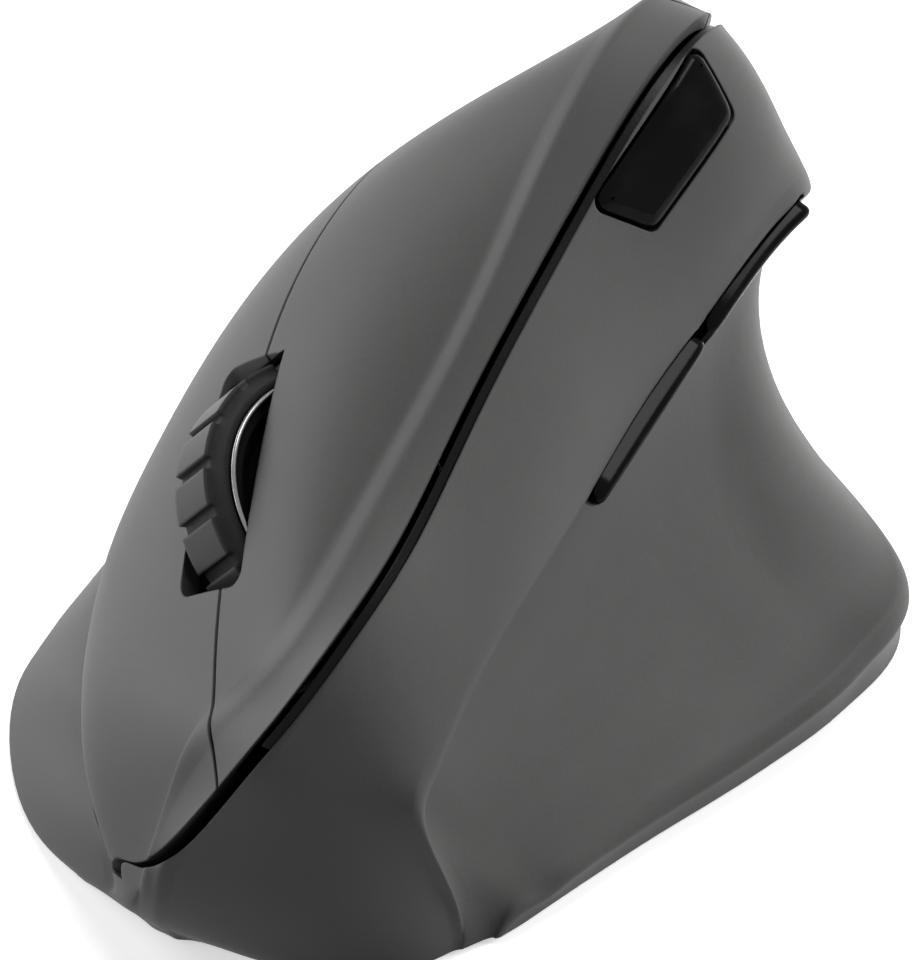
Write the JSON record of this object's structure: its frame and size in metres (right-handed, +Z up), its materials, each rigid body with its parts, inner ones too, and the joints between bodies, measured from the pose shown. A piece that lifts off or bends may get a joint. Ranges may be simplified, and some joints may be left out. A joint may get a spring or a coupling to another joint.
{
  "type": "vertical computer mouse",
  "caption": "Right-handed vertical mouse held in a handshake grip, with two finger plates, a ribbed scroll wheel, thumb keys and a wide thumb rest.",
  "frame": {"origin": "on the desk, under the middle of the outline", "axes": "+X to the finger side, +Y to the front where the fingers point, +Z up"},
  "size_m": [0.0786, 0.1159, 0.0666],
  "materials": {
    "housing": "fine matte moulded plastic",
    "plates": "soft-touch coating",
    "palm": "soft-touch coating",
    "trim": "plain black",
    "tyre": "moulded rubber",
    "hub": "satin",
    "rings": "plated",
    "steel": "ground",
    "inner_plastic": "plain moulded",
    "encoder": "plain moulded",
    "switch_body": "plain moulded",
    "tact_body": "plain moulded",
    "board": "solder mask on glass laminate",
    "keys": "polished black",
    "bottom": "fine spark texture",
    "sensor": "plain moulded",
    "lens": "clear moulded",
    "cell": "plain sleeve",
    "contact": "nickel plated",
    "plug": "plain",
    "receiver_cap": "satin",
    "slider": "plain moulded",
    "feet": "low-friction sheet",
    "screws": "zinc plated"
  },
  "bodies": {
    "housing": {"side_housing": "housing", "palm_cover": "palm", "groove_trim": "trim", "bottom_cover": "bottom", "button_board": "board", "inner_frame": "inner_plastic", "left_switch": "switch_body", "right_switch": "switch_body", "middle_switch": "tact_body", "thumb_board": "board", "forward_switch": "tact_body", "back_switch": "tact_body", "dpi_board": "board", "dpi_switch": "tact_body", "main_board": "board", "optical_sensor": "sensor", "sensor_lens": "lens", "battery_contact": "contact", "battery_spring": "contact", "power_switch": "switch_body", "glide_feet": "feet", "cover_screws": "screws"},
    "left_button": {"left_button": "plates"},
    "right_button": {"right_button": "plates"},
    "wheel_carrier": {"wheel_carrier": "inner_plastic", "wheel_encoder": "encoder"},
    "wheel": {"wheel_tyre": "tyre", "wheel_hub": "hub", "wheel_rings": "rings", "wheel_axle": "steel"},
    "dpi_button": {"dpi_button": "keys"},
    "forward_button": {"forward_button": "keys"},
    "back_button": {"back_button": "keys"},
    "power_slider": {"power_slider": "slider"},
    "battery_door": {"battery_door": "bottom"},
    "battery": {"battery": "cell"},
    "receiver": {"receiver_plug": "plug", "receiver_cap": "receiver_cap"}
  },
  "joints": [
    {"name": "left_click", "type": "hinge", "parent": "housing", "child": "left_button", "pos_m": [0.01755, -0.0205, 0.045], "axis": [-0.6252, 0, 0.7804], "range_deg": [0, 0.35], "stiffness_Nm_per_rad": 5.4},
    {"name": "right_click", "type": "hinge", "parent": "housing", "child": "right_button", "pos_m": [0.01755, -0.0205, 0.045], "axis": [-0.6252, 0, 0.7804], "range_deg": [0, 0.35], "stiffness_Nm_per_rad": 5.4},
    {"name": "wheel_press", "type": "slide", "parent": "housing", "child": "wheel_carrier", "axis": [-0.7804, 0, -0.6252], "range_m": [0, 0.0005], "stiffness_N_per_m": 1400},
    {"name": "wheel_spin", "type": "hinge", "parent": "wheel_carrier", "child": "wheel", "pos_m": [0.00399, 0.0215, 0.03125], "axis": [-0.6252, 0, 0.7804], "continuous": true},
    {"name": "dpi_press", "type": "slide", "parent": "housing", "child": "dpi_button", "axis": [0.8489, -0.1, -0.519], "range_m": [0, 0.0004], "stiffness_N_per_m": 2000},
    {"name": "forward_press", "type": "slide", "parent": "housing", "child": "forward_button", "axis": [0.9537, 0, 0.3009], "range_m": [0, 0.0004], "stiffness_N_per_m": 2000},
    {"name": "back_press", "type": "slide", "parent": "housing", "child": "back_button", "axis": [0.9537, 0, 0.3009], "range_m": [0, 0.0004], "stiffness_N_per_m": 2000},
    {"name": "power_slide", "type": "slide", "parent": "housing", "child": "power_slider", "axis": [0, 1, 0], "range_m": [0, 0.0025]},
    {"name": "door_lift", "type": "slide", "parent": "housing", "child": "battery_door", "axis": [0, 0, -1], "range_m": [0, 0.04]},
    {"name": "battery_lift", "type": "slide", "parent": "housing", "child": "battery", "axis": [0, 0, -1], "range_m": [0, 0.024]},
    {"name": "receiver_lift", "type": "slide", "parent": "housing", "child": "receiver", "axis": [0, 0, -1], "range_m": [0, 0.03]}
  ],
  "couplings": [
    {"joint": "battery_lift", "follows": "door_lift", "ratio": 0.6}
  ]
}
